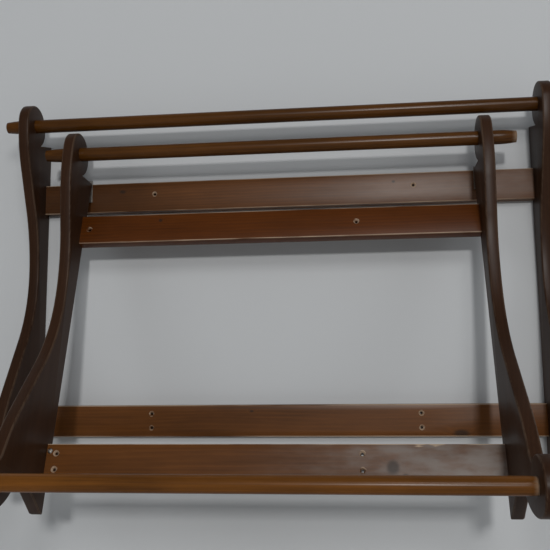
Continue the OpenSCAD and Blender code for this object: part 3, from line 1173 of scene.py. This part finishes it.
def build_corner_screw(part, finish):
    """The round-head slotted screw near the lower board's left end."""
    low, high = folded_box("corner_screw", part.place.inverted())
    radius = (high.x - low.x) / 2
    face = -part.board_t
    dome = low.y - face
    tip = high.y - face
    steps = 8
    profile = []
    for i in range(steps + 1):
        turn = math.pi / 2 * i / steps
        profile.append((dome * math.cos(turn), max(radius * math.sin(turn), radius * 0.02)))
    shank_r = radius * 0.42
    groove_r = shank_r * 0.80
    under_head = 0.0004
    depths = even_steps(under_head, tip - 0.003, 16)
    thread = [(depth, shank_r if i % 2 else groove_r) for i, depth in enumerate(depths)]
    profile += [(under_head / 2, radius * 0.94), (under_head, shank_r)]
    profile += thread[1:] + [(tip, shank_r * 0.1)]
    centre = Vector(((low.x + high.x) / 2, face, (low.z + high.z) / 2))
    mesh = lathe_cutter(profile, centre, (0, 1, 0), 32)
    reach, half_slot, slot_depth = radius * 1.3, 0.0006, 0.0011
    slot = box_cutter(
        (centre.x - reach, low.y - 0.001, centre.z - half_slot),
        (centre.x + reach, low.y + slot_depth, centre.z + half_slot),
    )
    lean = Matrix.Rotation(math.radians(28), 4, "Y")
    slot.transform(Matrix.Translation(centre) @ lean @ Matrix.Translation(-centre))
    mesh = carved(mesh, [slot], "corner_screw")
    mesh.transform(part.place)
    mesh.polygons.foreach_set("use_smooth", [True] * len(mesh.polygons))
    mesh.set_sharp_from_angle(angle=math.radians(35))
    mesh.materials.clear()
    mesh.materials.append(steel_material("corner_screw_steel", finish, 8))
    piece = new_piece("corner_screw_slotted", mesh)
    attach(piece, part.body)
    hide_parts("corner_screw")


def even_steps(start, end, count):
    """Even steps from start to end."""
    return [start + (end - start) * i / count for i in range(count + 1)]


# ---------------------------------------------------------------------------
# Operators


class RACK_OT_sides(bpy.types.Operator):
    """Make the four shaped side panels"""

    bl_idname = "rack.sides"
    bl_label = "Side Panels"

    def execute(self, context):
        scene = context.scene
        for part in (WALL_FRAME, SWING_FRAME):
            for hand in (-1, 1):
                build_side(part, hand, scene.rack_finish, scene.rack_shape)
        return {"FINISHED"}


class RACK_OT_boards(bpy.types.Operator):
    """Make the four boards with their screw holes"""

    bl_idname = "rack.boards"
    bl_label = "Boards"

    def execute(self, context):
        scene = context.scene
        for part in (WALL_FRAME, SWING_FRAME):
            for level in ("upper", "lower"):
                build_board(part, level, scene.rack_finish, scene.rack_shape)
        return {"FINISHED"}


class RACK_OT_dowels(bpy.types.Operator):
    """Turn the three dowels"""

    bl_idname = "rack.dowels"
    bl_label = "Dowels"

    def execute(self, context):
        scene = context.scene
        tree = dowel_tree()
        for part, which in ((WALL_FRAME, "top"), (SWING_FRAME, "top"), (SWING_FRAME, "front")):
            build_dowel(part, which, scene.rack_finish, scene.rack_shape, tree)
        return {"FINISHED"}


class RACK_OT_fasteners(bpy.types.Operator):
    """Drive the hinge screws and the brads"""

    bl_idname = "rack.fasteners"
    bl_label = "Screws and Brads"

    def execute(self, context):
        finish = context.scene.rack_finish
        tree = fastener_tree()
        screw = {"head": 0.0014, "neck": 0.0015, "shank": 0.0015, "slot": 0.0007, "seed": 4}
        brad = {"head": 0.0010, "neck": 0.0013, "shank": 0.0009, "slot": 0.0003, "seed": 6}
        build_fasteners("hinge_wall_screws", WALL_FRAME, 1, screw, finish, tree)
        build_fasteners("hinge_frame_screws", SWING_FRAME, -1, screw, finish, tree)
        build_fasteners("outer_dowel_brads", WALL_FRAME, -1, brad, finish, tree)
        build_fasteners("inner_dowel_brads", SWING_FRAME, -1, brad, finish, tree)
        build_corner_screw(SWING_FRAME, finish)
        return {"FINISHED"}


class RACK_OT_hinges(bpy.types.Operator):
    """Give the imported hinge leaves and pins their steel"""

    bl_idname = "rack.hinges"
    bl_label = "Hinges"

    def execute(self, context):
        steel = steel_material("hinge_steel", context.scene.rack_finish, 2)
        for hand in ("left", "right"):
            for part in ("hinge_wall_leaf", "hinge_frame_leaf", "hinge_pin"):
                mesh = frame["nodes"][f"{hand}_{part}"].data
                mesh.materials.clear()
                mesh.materials.append(steel)
        return {"FINISHED"}


class RACK_OT_stage(bpy.types.Operator):
    """Set up the camera, wall, floor and lights"""

    bl_idname = "rack.stage"
    bl_label = "Stage"

    def execute(self, context):
        stage = context.scene.rack_stage
        build_camera(context.scene, stage)
        build_wall(stage)
        build_floor(stage)
        build_lights(context.scene, stage)
        return {"FINISHED"}


def build_camera(scene, stage):
    data = bpy.data.cameras.new("camera")
    data.lens = stage.lens
    data.sensor_width = 36.0
    data.clip_end = 50.0
    camera = bpy.data.objects.new("camera", data)
    turn = (
        Matrix.Rotation(stage.camera_heading, 4, "Z")
        @ Matrix.Rotation(stage.camera_tilt, 4, "X")
        @ Matrix.Rotation(stage.camera_roll, 4, "Y")
        @ Matrix.Rotation(math.pi / 2, 4, "X")
    )
    camera.matrix_world = Matrix.Translation(stage.camera_place) @ turn
    scene.collection.objects.link(camera)
    scene.camera = camera


def flat_sheet(name, corners, material):
    mesh = bpy.data.meshes.new(name)
    mesh.from_pydata(corners, [], [(0, 1, 2, 3)])
    mesh.materials.append(material)
    sheet = new_piece(name, mesh)


def build_wall(stage):
    """The wall, which is seen only from the room, so that the rack's back can be looked at."""
    material, graph, paint = painted_material("wall_paint", stage.wall_colour, 0.018)
    behind = graph.node("ShaderNodeNewGeometry", None, None, "Backfacing")
    # Rays that start within 3 mm of the wall pass through it.
    reach = graph.node("ShaderNodeLightPath", None, None, "Ray Length")
    touching = graph.maths("LESS_THAN", reach, 0.003)
    clear = graph.node("ShaderNodeBsdfTransparent")
    hidden = graph.maths("MAXIMUM", behind, touching)
    to_surface(graph, graph.node("ShaderNodeMixShader", None, {0: hidden, 1: paint, 2: clear}))
    half, back, top = 3.2, 0.0012, 2.0
    low = -stage.floor_drop
    corners = [(-half, back, low), (half, back, low), (half, back, top), (-half, back, top)]
    flat_sheet("wall", corners, material)


def build_floor(stage):
    material, graph, paint = painted_material("floor_paint", stage.floor_colour, 0.03)
    to_surface(graph, paint)
    half, low = 4.5, -stage.floor_drop
    corners = [(-half, -half, low), (half, -half, low), (half, half, low), (-half, half, low)]
    flat_sheet("floor", corners, material)


def area_light(scene, name, place, target, size, power, colour):
    data = bpy.data.lights.new(name, "AREA")
    data.shape = "RECTANGLE"
    data.size, data.size_y = size
    data.energy = power
    data.color = colour
    light = bpy.data.objects.new(name, data)
    way = Vector(target) - Vector(place)
    light.matrix_world = Matrix.Translation(place) @ way.to_track_quat("-Z", "Y").to_matrix().to_4x4()
    scene.collection.objects.link(light)
    return light


def build_lights(scene, stage):
    middle = (CAD_BOX[0] + CAD_BOX[1]) / 2
    far, near = (0.80, -8.0, 1.30), (0.80, -3.5, 1.55)
    area_light(scene, "distant", far, middle, (0.5, 0.5), stage.sun_power, (1.0, 0.99, 0.97))
    area_light(scene, "window", near, middle, (1.0, 0.8), stage.window_power, (1.0, 0.99, 0.98))
    for name, place in (("left", (-3.2, -2.6, 1.1)), ("right", (3.6, -2.4, 0.8))):
        fill = area_light(scene, name, place, middle, (1.6, 1.6), stage.side_power, (0.95, 0.98, 1.0))
        fill.visible_glossy = False
    world = bpy.data.worlds.new("room")
    world.use_nodes = True
    world.node_tree.nodes.clear()
    graph = Graph(world.node_tree)
    glow = {"Color": (0.86, 0.90, 0.94, 1.0), "Strength": stage.sky_strength}
    graph.node("ShaderNodeOutputWorld", None, {"Surface": graph.node("ShaderNodeBackground", None, glow)})
    scene.world = world
    scene.view_settings.view_transform = "Standard"


STEPS = (RACK_OT_stage, RACK_OT_sides, RACK_OT_boards, RACK_OT_dowels, RACK_OT_fasteners, RACK_OT_hinges)


class RACK_PT_panel(bpy.types.Panel):
    """The rack's sizes, finishes and steps"""

    bl_label = "Drying Rack"
    bl_idname = "RACK_PT_panel"
    bl_space_type = "VIEW_3D"
    bl_region_type = "UI"
    bl_category = "Drying Rack"

    def draw(self, context):
        column = self.layout.column()
        for step in STEPS:
            column.operator(step.bl_idname)
        for group in (context.scene.rack_shape, context.scene.rack_finish, context.scene.rack_stage):
            column.separator()
            for name in group.__annotations__:
                column.prop(group, name)


CLASSES = (RackShape, RackFinish, RackStage, *STEPS, RACK_PT_panel)


def register():
    for item in CLASSES:
        bpy.utils.register_class(item)
    bpy.types.Scene.rack_shape = PointerProperty(type=RackShape)
    bpy.types.Scene.rack_finish = PointerProperty(type=RackFinish)
    bpy.types.Scene.rack_stage = PointerProperty(type=RackStage)


def unregister():
    del bpy.types.Scene.rack_stage
    del bpy.types.Scene.rack_finish
    del bpy.types.Scene.rack_shape
    for item in reversed(CLASSES):
        bpy.utils.unregister_class(item)


def main():
    register()
    bpy.ops.rack.stage()
    bpy.ops.rack.sides()
    bpy.ops.rack.boards()
    bpy.ops.rack.dowels()
    bpy.ops.rack.fasteners()
    bpy.ops.rack.hinges()


if __name__ == "__main__":
    main()
